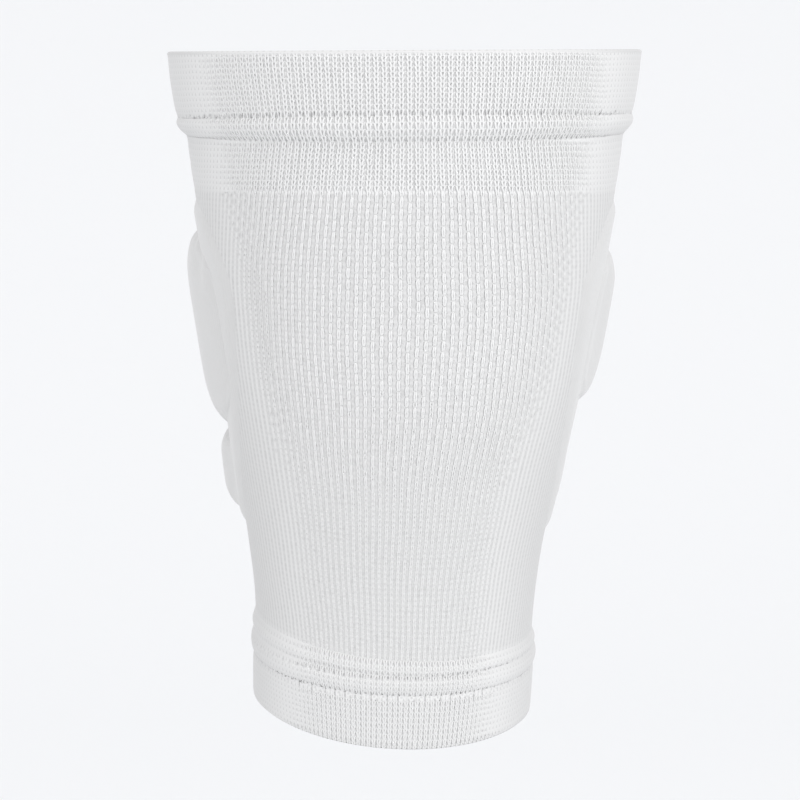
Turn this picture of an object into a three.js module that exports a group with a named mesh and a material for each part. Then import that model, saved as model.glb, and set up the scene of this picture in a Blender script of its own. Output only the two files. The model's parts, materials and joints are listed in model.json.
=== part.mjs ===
// A white knitted volleyball knee pad, in the form that it has when worn.
// Units are millimetres and +Z is up. The origin is on the leg's axis at half the sleeve's length,
// and the padded front faces -Y. Angles run round the leg from the front, positive towards +X.

import * as THREE from 'three';
import { mergeVertices } from 'three/addons/utils/BufferGeometryUtils.js';

// Leg form
const LENGTH = 230; // top rim to bottom rim, at the sides
const THIGH_RADIUS = 80.4; // outside, at the top rim
const SHIN_RADIUS = 50; // outside, at the bottom rim
const LEG_SHIFT = 3; // the most that the leg's axis bends to the side
const HEM_LEAN = 3.9; // the most that a sewn line is higher on one side than on the axis
const BACK_RISE = 2.3; // the most that a sewn line is higher at the back than at the sides

// Knitted walls and hems
const KNIT_WALL = 2;
const CUFF_WALL = 3; // two layers, turned in at the rim
const TOP_CUFF_HEIGHT = 21.5;
const TOP_ROLL_HEIGHT = 6.6;
const TOP_ROLL_STAND = 1.5; // how far the ridge stands out from the knit
const BOTTOM_CUFF_HEIGHT = 17.2;
const BOTTOM_ROLL_HEIGHT = 13.9;
const BOTTOM_ROLL_STAND = 1.2;
const SEAM_GAP = 0.3; // between pieces that are sewn together

// Padded front
const PANEL_WALL = 1;
const PANEL_DROP = 18.9; // from the top roll down to the panel's upper edge
const PANEL_LENGTH = 125;
const PANEL_WRAP = 126; // degrees from the front to the panel's furthest edge
const GROOVE_WIDTH = 2; // between two foam lobes
const GROOVE_SLANT = 3.5; // the most that a groove is higher at one side than at the front
const PAD_EDGE = 0.8; // thickness of a lobe where it is stitched down
const UPPER_PAD_DEPTH = 7.5;
const KNEE_PAD_DEPTH = 12;
const LOWER_PAD_DEPTH = 9;

// Sections of the leg from the top rim down. at: share of LENGTH. girth: share of the way from SHIN_RADIUS
// to THIGH_RADIUS. shift: share of LEG_SHIFT. lean: share of HEM_LEAN. rise: share of BACK_RISE.
const SECTIONS = [
  { at: 0.0, girth: 1.0, shift: -0.5, lean: -0.1, rise: 0.0 },
  { at: 0.045, girth: 0.97, shift: -0.5, lean: -0.15, rise: 0.5 },
  { at: 0.093, girth: 0.905, shift: -0.53, lean: -0.2, rise: 0.9 },
  { at: 0.122, girth: 0.815, shift: -0.57, lean: -0.1, rise: 0.2 },
  { at: 0.16, girth: 0.78, shift: -0.57, lean: 0.0, rise: 1.0 },
  { at: 0.3, girth: 0.62, shift: -0.5, lean: 0.0, rise: 0.8 },
  { at: 0.48, girth: 0.4, shift: -0.27, lean: 0.1, rise: 0.3 },
  { at: 0.64, girth: 0.205, shift: 0.3, lean: 0.3, rise: 0.0 },
  { at: 0.75, girth: 0.065, shift: 0.6, lean: 0.5, rise: -0.3 },
  { at: 0.86, girth: -0.015, shift: 0.73, lean: 1.0, rise: -0.7 },
  { at: 0.925, girth: 0.01, shift: 0.8, lean: 0.55, rise: 0.0 },
  { at: 1.0, girth: 0.0, shift: 1.0, lean: 0.8, rise: -0.9 },
];

// The panel's outline from the front round to its far edge. round: share of PANEL_WRAP. head and foot: shares
// of PANEL_LENGTH down to its upper and lower edges there.
const PANEL_OUTLINE = [
  { round: 0.0, head: 0.0, foot: 1.0 },
  { round: 0.6, head: 0.0, foot: 1.0 },
  { round: 0.78, head: 0.01, foot: 0.95 },
  { round: 0.85, head: 0.03, foot: 0.88 },
  { round: 0.9, head: 0.06, foot: 0.75 },
  { round: 0.95, head: 0.13, foot: 0.55 },
  { round: 0.98, head: 0.18, foot: 0.41 },
  { round: 1.0, head: 0.23, foot: 0.31 },
];

// Lines across the front that part the lobes. down: share of PANEL_LENGTH. slant: share of GROOVE_SLANT.
const GROOVES = [
  { down: 0.01, slant: 0.0 },
  { down: 0.124, slant: 1.0 },
  { down: 0.636, slant: -0.4 },
  { down: 0.928, slant: 0.0 },
];

// A lobe fills the space between two of these lines. reach: share of PANEL_WRAP to each side of its middle.
// turn: degrees that its middle is turned from the front. rows: how finely its height is divided.
const PADS = [
  { name: 'upper_pad', depth: UPPER_PAD_DEPTH, reach: 0.64, turn: -14, rows: 4 },
  { name: 'knee_pad', depth: KNEE_PAD_DEPTH, reach: 0.865, turn: 4, rows: 8 },
  { name: 'lower_pad', depth: LOWER_PAD_DEPTH, reach: 0.78, turn: 6, rows: 6 },
];

// Outlines across the two ridges, from the sleeve's side towards the rim. along: share of the ridge's height.
// stand: share of how far it stands out.
const TOP_ROLL_OUTLINE = [
  { along: 0.0, stand: 0.0 },
  { along: 0.14, stand: 0.55 },
  { along: 0.42, stand: 0.95 },
  { along: 0.68, stand: 1.0 },
  { along: 0.9, stand: 0.6 },
  { along: 1.0, stand: 0.0 },
];
const BOTTOM_ROLL_OUTLINE = [
  { along: 0.0, stand: 0.0 },
  { along: 0.08, stand: 0.7 },
  { along: 0.25, stand: 1.0 },
  { along: 0.45, stand: 0.3 },
  { along: 0.62, stand: 0.8 },
  { along: 0.85, stand: 0.7 },
  { along: 1.0, stand: 0.0 },
];

// Fineness of the facets
const STEPS_AROUND = 54;
const SLEEVE_ROWS = 11;
const CUFF_ROWS = 3;
const RIM_STEPS = 4;
const PANEL_COLUMNS = 38;
const PANEL_ROWS = 11;
const PAD_COLUMNS = 36;
const CLOSING_UP = 0.3; // how much the columns of the panel and the lobes close up towards their ends

// How a lobe falls away from its middle: mostly as a low arch, and a share of it as a blunt cushion
const BLUNT_SHARE = 0.15;
const CORNER_CUT = 0.45; // share of a lobe's half height that its rounded corners take away

// Levels of the sewn lines, worked out from the heights above
const TOP_RIM = LENGTH / 2;
const TOP_SEAM = TOP_RIM - TOP_CUFF_HEIGHT;
const TOP_ROLL_FOOT = TOP_SEAM - TOP_ROLL_HEIGHT;
const BOTTOM_RIM = -LENGTH / 2;
const BOTTOM_SEAM = BOTTOM_RIM + BOTTOM_CUFF_HEIGHT;
const BOTTOM_ROLL_HEAD = BOTTOM_SEAM + BOTTOM_ROLL_HEIGHT;
const PANEL_TOP = TOP_ROLL_FOOT - PANEL_DROP;
const PAD_SEAT = SEAM_GAP + PANEL_WALL + SEAM_GAP; // a lobe's back above the sleeve's skin

const knit = { color: 0xf1f1ef, roughness: 0.95, metalness: 0 };
const cover = { color: 0xf4f4f3, roughness: 0.85, metalness: 0 };

// A smooth curve through one or more columns of a table, read by the table's first column
function curveThrough(table, key, columns) {
  const positions = table.map((row) => row[key]);
  const values = table.flatMap((row) => columns.map((column) => row[column]));
  return new THREE.CubicInterpolant(positions, values, columns.length, new Float64Array(columns.length));
}

const legForm = curveThrough(SECTIONS, 'at', ['girth', 'shift', 'lean', 'rise']);
const panelOutline = curveThrough(PANEL_OUTLINE, 'round', ['head', 'foot']);

// The point at an angle round the leg, at a level, and this far out from the sleeve's skin
function onLeg(angle, level, offset) {
  const at = THREE.MathUtils.clamp((TOP_RIM - level) / LENGTH, 0, 1);
  const [girth, shift, lean, rise] = legForm.evaluate(at);
  const radius = SHIN_RADIUS + girth * (THIGH_RADIUS - SHIN_RADIUS) + offset;
  const lift = HEM_LEAN * lean * Math.sin(angle) + BACK_RISE * rise * Math.cos(angle) ** 2;
  return new THREE.Vector3(
    LEG_SHIFT * shift + radius * Math.sin(angle),
    -radius * Math.cos(angle),
    level + lift,
  );
}

// Moves every corner of a plain form to its place on the leg
function fitted(geometry, placeOf) {
  const corners = geometry.attributes.position;
  const corner = new THREE.Vector3();
  for (let index = 0; index < corners.count; index += 1) {
    const place = placeOf(corner.fromBufferAttribute(corners, index));
    corners.setXYZ(index, place.x, place.y, place.z);
  }
  geometry.deleteAttribute('normal');
  geometry.deleteAttribute('uv');
  const whole = mergeVertices(geometry, 1e-3);
  whole.computeVertexNormals();
  return whole;
}

// A tube round the leg from its closed outline of offsets and levels, turned at the thigh's radius and then
// fitted to the leg
function tube(outline) {
  const profile = outline.map(([offset, level]) => new THREE.Vector2(THIGH_RADIUS + offset, level));
  profile.push(profile[0].clone());
  const turned = new THREE.LatheGeometry(profile, STEPS_AROUND);
  return fitted(turned, (corner) => {
    const offset = Math.hypot(corner.x, corner.z) - THIGH_RADIUS;
    return onLeg(Math.atan2(corner.x, corner.z), corner.y, offset);
  });
}

// A plain knitted wall from one level up to another
function wallOutline(low, high, rows, wall) {
  const outside = [];
  const inside = [];
  for (let row = 0; row <= rows; row += 1) {
    const level = THREE.MathUtils.lerp(low, high, row / rows);
    outside.push([0, level]);
    inside.unshift([-wall, level]);
  }
  return [...outside, ...inside];
}

// A cuff from its seam to its rim, where the cloth turns in through half a circle
function cuffOutline(seam, rim) {
  const upwards = Math.sign(rim - seam);
  const turn = CUFF_WALL / 2;
  const straightEnd = rim - upwards * turn;
  const outside = [];
  const inside = [];
  for (let row = 0; row <= CUFF_ROWS; row += 1) {
    const level = THREE.MathUtils.lerp(seam, straightEnd, row / CUFF_ROWS);
    outside.push([0, level]);
    inside.unshift([-CUFF_WALL, level]);
  }
  const bend = [];
  for (let step = 1; step < RIM_STEPS; step += 1) {
    const sweep = (Math.PI * step) / RIM_STEPS;
    bend.push([turn * Math.cos(sweep) - turn, straightEnd + upwards * turn * Math.sin(sweep)]);
  }
  const outline = [...outside, ...bend, ...inside];
  return upwards > 0 ? outline : outline.reverse();
}

// A sewn ridge: flat inside, with its own outline outside
function rollOutline(foot, head, table, stand) {
  const outside = table.map((row) => [stand * row.stand, THREE.MathUtils.lerp(foot, head, row.along)]);
  const outline = [...outside, [-CUFF_WALL, head], [-CUFF_WALL, foot]];
  return head > foot ? outline : outline.reverse();
}

// The panel: a thin sheet laid round the front, on the sleeve. Its columns of facets close up towards its edges.
function panel() {
  const sheet = new THREE.BoxGeometry(2, 1, 1, PANEL_COLUMNS, PANEL_ROWS, 1);
  return fitted(sheet, (corner) => {
    const across = THREE.MathUtils.lerp(corner.x, Math.sin((corner.x * Math.PI) / 2), CLOSING_UP);
    const [head, foot] = panelOutline.evaluate(Math.abs(across));
    const down = THREE.MathUtils.lerp(foot, head, corner.y + 0.5);
    const angle = THREE.MathUtils.degToRad(PANEL_WRAP * across);
    const offset = SEAM_GAP + PANEL_WALL * (corner.z + 0.5);
    return onLeg(angle, PANEL_TOP - PANEL_LENGTH * down, offset);
  });
}

// The level of a groove line at an angle round the leg
function grooveLevel({ down, slant }, angle) {
  return PANEL_TOP - PANEL_LENGTH * down + GROOVE_SLANT * slant * Math.sin(angle);
}

// A foam lobe between two groove lines, thickest at its middle
function lobe({ depth, reach, turn, rows }, headLine, footLine) {
  const block = new THREE.BoxGeometry(2, 2, 1, PAD_COLUMNS, rows, 1);
  return fitted(block, (corner) => {
    const across = THREE.MathUtils.lerp(corner.x, Math.sin((corner.x * Math.PI) / 2), CLOSING_UP);
    const up = Math.sin((corner.y * Math.PI) / 2);
    const angle = THREE.MathUtils.degToRad(turn + PANEL_WRAP * reach * across);
    const head = grooveLevel(headLine, angle) - GROOVE_WIDTH / 2;
    const foot = grooveLevel(footLine, angle) + GROOVE_WIDTH / 2;
    const halfHeight = ((head - foot) / 2) * (1 - CORNER_CUT * across ** 8);
    const arch = 1 - across ** 2;
    const cushion = 1 - across ** 8;
    const fullness = THREE.MathUtils.lerp(arch, cushion, BLUNT_SHARE) * (1 - Math.abs(up) ** 5);
    const isFace = corner.z > 0;
    const offset = PAD_SEAT + (isFace ? PAD_EDGE + (depth - PAD_EDGE) * fullness : 0);
    return onLeg(angle, (head + foot) / 2 + up * halfHeight, offset);
  });
}

function piece(name, geometry, finish) {
  const mesh = new THREE.Mesh(geometry, new THREE.MeshStandardMaterial(finish));
  mesh.name = name;
  return mesh;
}

const kneePad = new THREE.Group();

const topCuff = cuffOutline(TOP_SEAM, TOP_RIM);
const topRoll = rollOutline(TOP_ROLL_FOOT + SEAM_GAP, TOP_SEAM - SEAM_GAP, TOP_ROLL_OUTLINE, TOP_ROLL_STAND);
const sleeve = wallOutline(BOTTOM_ROLL_HEAD + SEAM_GAP, TOP_ROLL_FOOT, SLEEVE_ROWS, KNIT_WALL);
const bottomRoll = rollOutline(
  BOTTOM_ROLL_HEAD,
  BOTTOM_SEAM + SEAM_GAP,
  BOTTOM_ROLL_OUTLINE,
  BOTTOM_ROLL_STAND,
);
const bottomCuff = cuffOutline(BOTTOM_SEAM, BOTTOM_RIM);

kneePad.add(piece('top_cuff', tube(topCuff), knit));
kneePad.add(piece('top_roll', tube(topRoll), knit));
kneePad.add(piece('sleeve', tube(sleeve), knit));
kneePad.add(piece('bottom_roll', tube(bottomRoll), knit));
kneePad.add(piece('bottom_cuff', tube(bottomCuff), knit));
kneePad.add(piece('pad_panel', panel(), cover));
PADS.forEach((pad, index) => {
  kneePad.add(piece(pad.name, lobe(pad, GROOVES[index], GROOVES[index + 1]), cover));
});

export default kneePad;
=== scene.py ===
# %% [markdown]
# # A knitted volleyball knee pad
#
# The object is a tube of white elastic knit with a turned cuff at each end and three foam lobes over the
# knee. It stands in the form that it has when worn. The packed frame already holds the true shape of each
# piece as a plain solid. This lesson dresses those solids: every loop of yarn that can be told apart becomes
# real geometry, and the foam gets its soft crown, its seams and its fine cover.

# %% Load the frame
import itertools
import json
import math

import bpy
import numpy as np
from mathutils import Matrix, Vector

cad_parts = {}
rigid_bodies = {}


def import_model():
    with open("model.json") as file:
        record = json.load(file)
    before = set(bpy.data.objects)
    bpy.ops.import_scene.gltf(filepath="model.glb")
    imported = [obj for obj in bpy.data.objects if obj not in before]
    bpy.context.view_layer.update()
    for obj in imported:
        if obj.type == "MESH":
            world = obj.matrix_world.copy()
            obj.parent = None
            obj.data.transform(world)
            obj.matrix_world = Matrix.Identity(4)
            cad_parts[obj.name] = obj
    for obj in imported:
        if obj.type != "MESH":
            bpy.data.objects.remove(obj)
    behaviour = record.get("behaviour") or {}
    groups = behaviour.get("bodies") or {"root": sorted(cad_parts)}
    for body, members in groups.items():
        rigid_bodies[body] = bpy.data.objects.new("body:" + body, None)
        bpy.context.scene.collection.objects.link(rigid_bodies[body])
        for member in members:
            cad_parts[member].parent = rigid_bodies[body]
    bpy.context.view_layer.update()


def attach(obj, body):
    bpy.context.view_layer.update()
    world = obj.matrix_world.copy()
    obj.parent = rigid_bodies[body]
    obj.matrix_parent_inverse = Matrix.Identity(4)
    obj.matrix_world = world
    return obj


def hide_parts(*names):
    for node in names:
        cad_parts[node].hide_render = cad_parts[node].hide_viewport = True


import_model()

MM = 0.001  # sizes below are in millimetres, and a finished mesh is in metres

# %% [markdown]
# ## Camera, light and backdrop
#
# The pad is seen from behind, from a little above its middle. A long lens keeps the taper of the leg true.
# White yarn on white needs flat, wide light, or the gaps between the loops turn black. So most of the light
# is the bright surround, and one large lamp on the right gives the slow change of tone from side to side.

# %% Camera
IMAGE_SIDE = 800  # pixels
SENSOR_WIDTH = 36  # mm
FOCAL_PIXELS = 1940
FOCAL_LENGTH = FOCAL_PIXELS * SENSOR_WIDTH / IMAGE_SIDE  # mm
CAMERA_PLACE = Vector((0, 671.5, 114.0)) * MM
CAMERA_PITCH = math.radians(10.14)  # downwards
NEAREST, FARTHEST = 0.05, 50  # metres, between which the camera sees


def add_object(name, data):
    """A new object in the scene."""
    made = bpy.data.objects.new(name, data)
    bpy.context.scene.collection.objects.link(made)
    return made


def make_camera():
    camera = add_object("camera", bpy.data.cameras.new("camera"))
    camera.data.lens = FOCAL_LENGTH
    camera.data.sensor_width = SENSOR_WIDTH
    camera.data.clip_start = NEAREST
    camera.data.clip_end = FARTHEST
    camera.location = CAMERA_PLACE
    camera.rotation_euler = (math.pi / 2 - CAMERA_PITCH, 0, math.pi)
    bpy.context.scene.camera = camera
    return camera


camera = make_camera()
print("lens, mm:", round(camera.data.lens, 1))

# %% Surround, lamp and backdrop
SURROUND = (0.98, 0.98, 0.985, 1)
SURROUND_STRENGTH = 1.15
LAMP_PLACE = Vector((-1.1, 1.3, 0.9))
LAMP_SIDE = 1.4  # metres
LAMP_POWER = 8  # watts
FLOOR_LEVEL = -1.0  # metres; the pad is held up as a leg holds it
FLOOR_FRONT, WALL_PLACE = 3.0, -4.0  # metres along Y
WALL_TOP = 5.0
SWEEP_RADIUS, SWEEP_POINTS = 1.5, 13
STAGE_HALF_WIDTH = 6.0


def make_light():
    world = bpy.data.worlds.new("surround")
    bpy.context.scene.world = world
    world.use_nodes = True
    background = world.node_tree.nodes["Background"]
    background.inputs["Color"].default_value = SURROUND
    background.inputs["Strength"].default_value = SURROUND_STRENGTH
    lamp = add_object("lamp", bpy.data.lights.new("lamp", "AREA"))
    lamp.data.size = LAMP_SIDE
    lamp.data.energy = LAMP_POWER
    lamp.location = LAMP_PLACE
    lamp.rotation_euler = (-LAMP_PLACE).to_track_quat("-Z", "Y").to_euler()


def make_backdrop():
    """A pale floor that curves up into a wall, so that no line shows behind the object."""
    sweep = np.linspace(0, math.pi / 2, SWEEP_POINTS)
    bend_y = WALL_PLACE + SWEEP_RADIUS * (1 - np.sin(sweep))
    bend_z = FLOOR_LEVEL + SWEEP_RADIUS * (1 - np.cos(sweep))
    line = [(FLOOR_FRONT, FLOOR_LEVEL), *zip(bend_y, bend_z), (WALL_PLACE, WALL_TOP)]
    points = [(side * STAGE_HALF_WIDTH, y, z) for y, z in line for side in (-1, 1)]
    faces = [(2 * i, 2 * i + 1, 2 * i + 3, 2 * i + 2) for i in range(len(line) - 1)]
    mesh = bpy.data.meshes.new("backdrop")
    mesh.from_pydata(points, [], faces)
    mesh.polygons.foreach_set("use_smooth", [True] * len(faces))
    backdrop = add_object("backdrop", mesh)
    return backdrop


make_light()
backdrop = make_backdrop()
bpy.context.scene.view_settings.view_transform = "Standard"
print("stage:", backdrop.name)

# %% [markdown]
# ## Writing nodes as sums
#
# A material is easier to read as a sum than as a heap of boxes. Wire holds one output of a node and knows
# the usual signs, so that `1 - mask * 0.2` adds its Math nodes. Every other node comes from add_node, which
# sets a node's own settings first and then its sockets.

# %% Nodes and wires
def add_node(tree, kind, settings=None, values=None):
    """A new node: its settings are set first, then the values or links of its sockets."""
    made = tree.nodes.new(kind)
    for name, value in (settings or {}).items():
        setattr(made, name, value)
    for name, value in (values or {}).items():
        if isinstance(value, Wire):
            tree.links.new(value.socket, made.inputs[name])
        else:
            made.inputs[name].default_value = value
    return made


class Wire:
    """One output of a node, which takes part in sums as a number does."""

    def __init__(self, node, output=0):
        self.socket = node.outputs[output]
        self.tree = node.id_data

    def math(self, operation, *values):
        sockets = dict(enumerate(values))
        return Wire(add_node(self.tree, "ShaderNodeMath", {"operation": operation}, sockets))

    def __add__(self, other):
        return self.math("ADD", self, other)

    def __sub__(self, other):
        return self.math("SUBTRACT", self, other)

    def __rsub__(self, other):
        return self.math("SUBTRACT", other, self)

    def __mul__(self, other):
        return self.math("MULTIPLY", self, other)

    def __truediv__(self, other):
        return self.math("DIVIDE", self, other)

    def __rtruediv__(self, other):
        return self.math("DIVIDE", other, self)

    def __pow__(self, other):
        return self.math("POWER", self, other)

    __radd__ = __add__
    __rmul__ = __mul__

    def floor(self):
        return self.math("FLOOR", self)

    def fraction(self):
        return self.math("FRACT", self)

    def wave(self):
        """A cosine of the value in turns, from 0 to 1."""
        return self.math("COSINE", self * (2 * math.pi)) * 0.5 + 0.5

    def between(self, low, high):
        """0 below low and 1 above high, with a smooth rise between."""
        settings = {"interpolation_type": "SMOOTHSTEP"}
        limits = {"Value": self, "From Min": low, "From Max": high}
        return Wire(add_node(self.tree, "ShaderNodeMapRange", settings, limits))


print("a Wire knows:", [name for name in vars(Wire) if not name.startswith("_")])

# %% What the finishes share
GLOSS = 0.25  # cloth has little
SCATTER = 0.618  # steps of this share of a turn scatter whole numbers evenly
# a needle hole is painted shade, dark at its core and fading to its edge
HOLE_CORE, HOLE_EDGE = 0.06, 0.19  # shares of a space, where a needle hole begins to fade and where it ends


class Finish:
    """A material with one Principled shader, and short ways to reach what its patterns are made from."""

    def __init__(self, name, roughness, sheen):
        self.material = bpy.data.materials.new(name)
        self.material.use_nodes = True
        self.tree = self.material.node_tree
        self.shader = self.tree.nodes["Principled BSDF"]
        self.shader.inputs["Roughness"].default_value = roughness
        self.shader.inputs["Sheen Weight"].default_value = sheen
        self.shader.inputs["Specular IOR Level"].default_value = GLOSS

    def place(self):
        return Wire(add_node(self.tree, "ShaderNodeTexCoord"), "Object")

    def chart(self, name):
        """The two coordinates of a UV map."""
        uv = Wire(add_node(self.tree, "ShaderNodeUVMap", {"uv_map": name}))
        parts = add_node(self.tree, "ShaderNodeSeparateXYZ", None, {"Vector": uv})
        return Wire(parts, "X"), Wire(parts, "Y")

    def value_on(self, name):
        return Wire(add_node(self.tree, "ShaderNodeAttribute", {"attribute_name": name}), "Fac")

    def noise(self, scale, detail=2.0):
        """Soft specks, about this many to a metre."""
        values = {"Vector": self.place(), "Scale": scale, "Detail": detail}
        return Wire(add_node(self.tree, "ShaderNodeTexNoise", None, values), "Fac")

    def mixed(self, low, high, share):
        """A colour that goes from low to high as share goes from 0 to 1."""
        values = {"Factor": share, "A": low, "B": high}
        return Wire(add_node(self.tree, "ShaderNodeMix", {"data_type": "RGBA"}, values), "Result")

    def colour(self, paint):
        self.tree.links.new(paint.socket, self.shader.inputs["Base Color"])

    def needle_hole_shade(self):
        """1 in the painted shade of the small holes of a sewn row, whose chart counts spaces along it and
        away from it.
        """
        along, away = self.chart("needle")
        number = (along + 0.5).floor()
        aside = along - number
        strength = (number * SCATTER).fraction() * 0.4 + 0.5  # each hole has its own
        distance = (aside * aside + away * away) ** 0.5
        return (1 - distance.between(HOLE_CORE, HOLE_EDGE)) * strength * self.value_on("sewn")

    def relief(self, height, depth):
        """A bump of this depth in metres where height goes from 0 to 1."""
        values = {"Height": height, "Distance": depth, "Strength": 1.0}
        bump = Wire(add_node(self.tree, "ShaderNodeBump", None, values), "Normal")
        self.tree.links.new(bump.socket, self.shader.inputs["Normal"])


print("gloss:", GLOSS)

# %% [markdown]
# ## The finishes
#
# All of it is white, so the finishes differ in their grain. The yarn is a soft textured nylon: each loop is
# a little lighter or darker than the next, and fine fibres wind along it. The ground behind the loops is
# the back of the same knit. Its colour gives the shade that lies in the holes and hollows, in step with the
# loops, because real holes of that size would take many more faces. The pad's cover is a much finer,
# smoother knit with faint upright lines.
# Yarn and ground also carry painted shade: darker where the knit lies closed, and in the needle holes of the
# sewn rows.

# %% Yarn and ground
def grey(value):
    return (value, value, value, 1)


YARN_LIGHT, YARN_DARK = grey(0.85), grey(0.81)
GROUND_LIGHT, GROUND_DARK = grey(0.88), grey(0.63)
# painted shade: yarn and ground are painted darker where the knit lies closed, to the sides, down the calf,
# in the rib and at the rim
YARN_PAINTED_SHADE, GROUND_PAINTED_SHADE = grey(0.54), grey(0.50)  # less light comes through where the knit lies close
# the painted shade of a needle hole
NEEDLE_HOLE_SHADE = (0.36, 0.36, 0.37, 1)


def yarn_finish():
    """Textured yarn. The chart strand holds the place along a loop's leg and round it."""
    finish = Finish("white_yarn", roughness=0.9, sheen=0.3)
    along, around = finish.chart("strand")
    twist = (along * 3 + around * 2).wave()
    fluff = finish.noise(2600)
    white = finish.mixed(YARN_DARK, YARN_LIGHT, finish.value_on("tone") * 0.75 + fluff * 0.25)
    # painted shade: the yarn is darker where the knit lies closed
    white = finish.mixed(YARN_PAINTED_SHADE, white, finish.value_on("open"))
    # painted shade in the needle holes
    finish.colour(finish.mixed(white, NEEDLE_HOLE_SHADE, finish.needle_hole_shade()))
    finish.relief(twist * 0.5 + fluff, 0.06 * MM)
    return finish.material


def ground_finish():
    """What shows between the legs: a small shaded hole inside each plain loop, a shaded triangle between
    two wales, and in the rib a shaded hollow all along each wale."""
    finish = Finish("knit_ground", roughness=0.95, sheen=0.2)
    wale, course = finish.chart("knit")
    between = wale.wave()  # 0 behind the middle of a wale and 1 between two
    up = course.fraction()
    hole = ((course - 0.55).wave() * 0.5 - between).between(0.26, 0.42)
    triangle = (between - 0.7 - up * 0.42).between(0, 0.12)  # it narrows upwards
    plain = hole * 0.25 + triangle * 0.95
    # the hollow's painted shade is darker in scattered specks
    shade_specks = finish.noise(700).between(0.54, 0.66) * 0.5  # threads that cross the hollow
    hollow = between.between(0.3, 0.65) * (course.wave() * 0.32 + 0.54 + shade_specks)
    shade = plain + (hollow - plain) * finish.value_on("rib")
    fluff = finish.noise(1800)
    shaded = finish.mixed(GROUND_LIGHT, GROUND_DARK, shade * 0.9 + fluff * 0.15)
    # painted shade: the ground is darker where the knit lies closed
    shaded = finish.mixed(GROUND_PAINTED_SHADE, shaded, finish.value_on("open"))
    # painted shade in the needle holes
    finish.colour(finish.mixed(shaded, NEEDLE_HOLE_SHADE, finish.needle_hole_shade()))
    finish.relief(fluff, 0.08 * MM)
    return finish.material


yarn = yarn_finish()
ground = ground_finish()
print("knit:", yarn.name, ground.name)

# %% Cover and backdrop
COVER_LIGHT, COVER_DARK = grey(0.63), grey(0.59)
BACKDROP = (0.62, 0.625, 0.635, 1)
BACKDROP_GLOW = (0.241, 0.244, 0.247, 1)  # the lamp misses the wall, so the wall gives a little light


def cover_finish():
    """Fine smooth knit over foam. The chart cloth is in millimetres: round the leg and up it."""
    finish = Finish("pad_cover", roughness=0.82, sheen=0.35)
    across, up = finish.chart("cloth")
    lines = (across * 0.9).wave()
    loops = (up * 1.3 + lines * 0.3).wave()
    cloud = finish.noise(60, 3.0)
    fluff = finish.noise(1500)
    grain = lines * 0.55 + loops * 0.2 + fluff * 0.25
    finish.colour(finish.mixed(COVER_DARK, COVER_LIGHT, grain * 0.45 + cloud * 0.55))
    finish.relief(grain, 0.06 * MM)
    return finish.material


def backdrop_finish():
    finish = Finish("backdrop", roughness=0.9, sheen=0.0)
    finish.shader.inputs["Base Color"].default_value = BACKDROP
    finish.shader.inputs["Emission Color"].default_value = BACKDROP_GLOW
    finish.shader.inputs["Emission Strength"].default_value = 1.0
    return finish.material


cover = cover_finish()
backdrop.data.materials.append(backdrop_finish())
print("cover and backdrop:", cover.name, backdrop.data.materials[0].name)

# %% [markdown]
# ## The leg form
#
# Every piece follows one form: a tapered leg that bends a little to the side and whose sewn lines lean and
# rise. The sizes and the tables are those of the solids. A short table of sections gives the girth and the
# lean from the top rim down, and a smooth curve runs through it. Anything that is known by an angle from the
# front, a level and a distance out from the skin can then be laid on the leg.

# %% Sizes of the leg form, in millimetres
LENGTH, THIGH_RADIUS, SHIN_RADIUS = 230, 80.4, 50
LEG_SHIFT, HEM_LEAN, BACK_RISE = 3, 3.9, 2.3
KNIT_WALL, CUFF_WALL = 2, 3
TOP_CUFF_HEIGHT, TOP_ROLL_HEIGHT, TOP_ROLL_STAND = 21.5, 6.6, 1.5
BOTTOM_CUFF_HEIGHT, BOTTOM_ROLL_HEIGHT, BOTTOM_ROLL_STAND = 17.2, 13.9, 1.2
SEAM_GAP = 0.3
TOP_RIM = LENGTH / 2
TOP_SEAM = TOP_RIM - TOP_CUFF_HEIGHT
TOP_ROLL_FOOT = TOP_SEAM - TOP_ROLL_HEIGHT
BOTTOM_RIM = -LENGTH / 2
BOTTOM_SEAM = BOTTOM_RIM + BOTTOM_CUFF_HEIGHT
BOTTOM_ROLL_HEAD = BOTTOM_SEAM + BOTTOM_ROLL_HEIGHT


def table(names, *rows):
    """Columns by name, from rows that are written one by one."""
    return dict(zip(names.split(), np.array(rows, float).T))


SECTIONS = table(
    "at girth shift lean rise",
    (0.0, 1.0, -0.5, -0.1, 0.0),
    (0.045, 0.97, -0.5, -0.15, 0.5),
    (0.093, 0.905, -0.53, -0.2, 0.9),
    (0.122, 0.815, -0.57, -0.1, 0.2),
    (0.16, 0.78, -0.57, 0.0, 1.0),
    (0.3, 0.62, -0.5, 0.0, 0.8),
    (0.48, 0.4, -0.27, 0.1, 0.3),
    (0.64, 0.205, 0.3, 0.3, 0.0),
    (0.75, 0.065, 0.6, 0.5, -0.3),
    (0.86, -0.015, 0.73, 1.0, -0.7),
    (0.925, 0.01, 0.8, 0.55, 0.0),
    (1.0, 0.0, 1.0, 0.8, -0.9),
)


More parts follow.
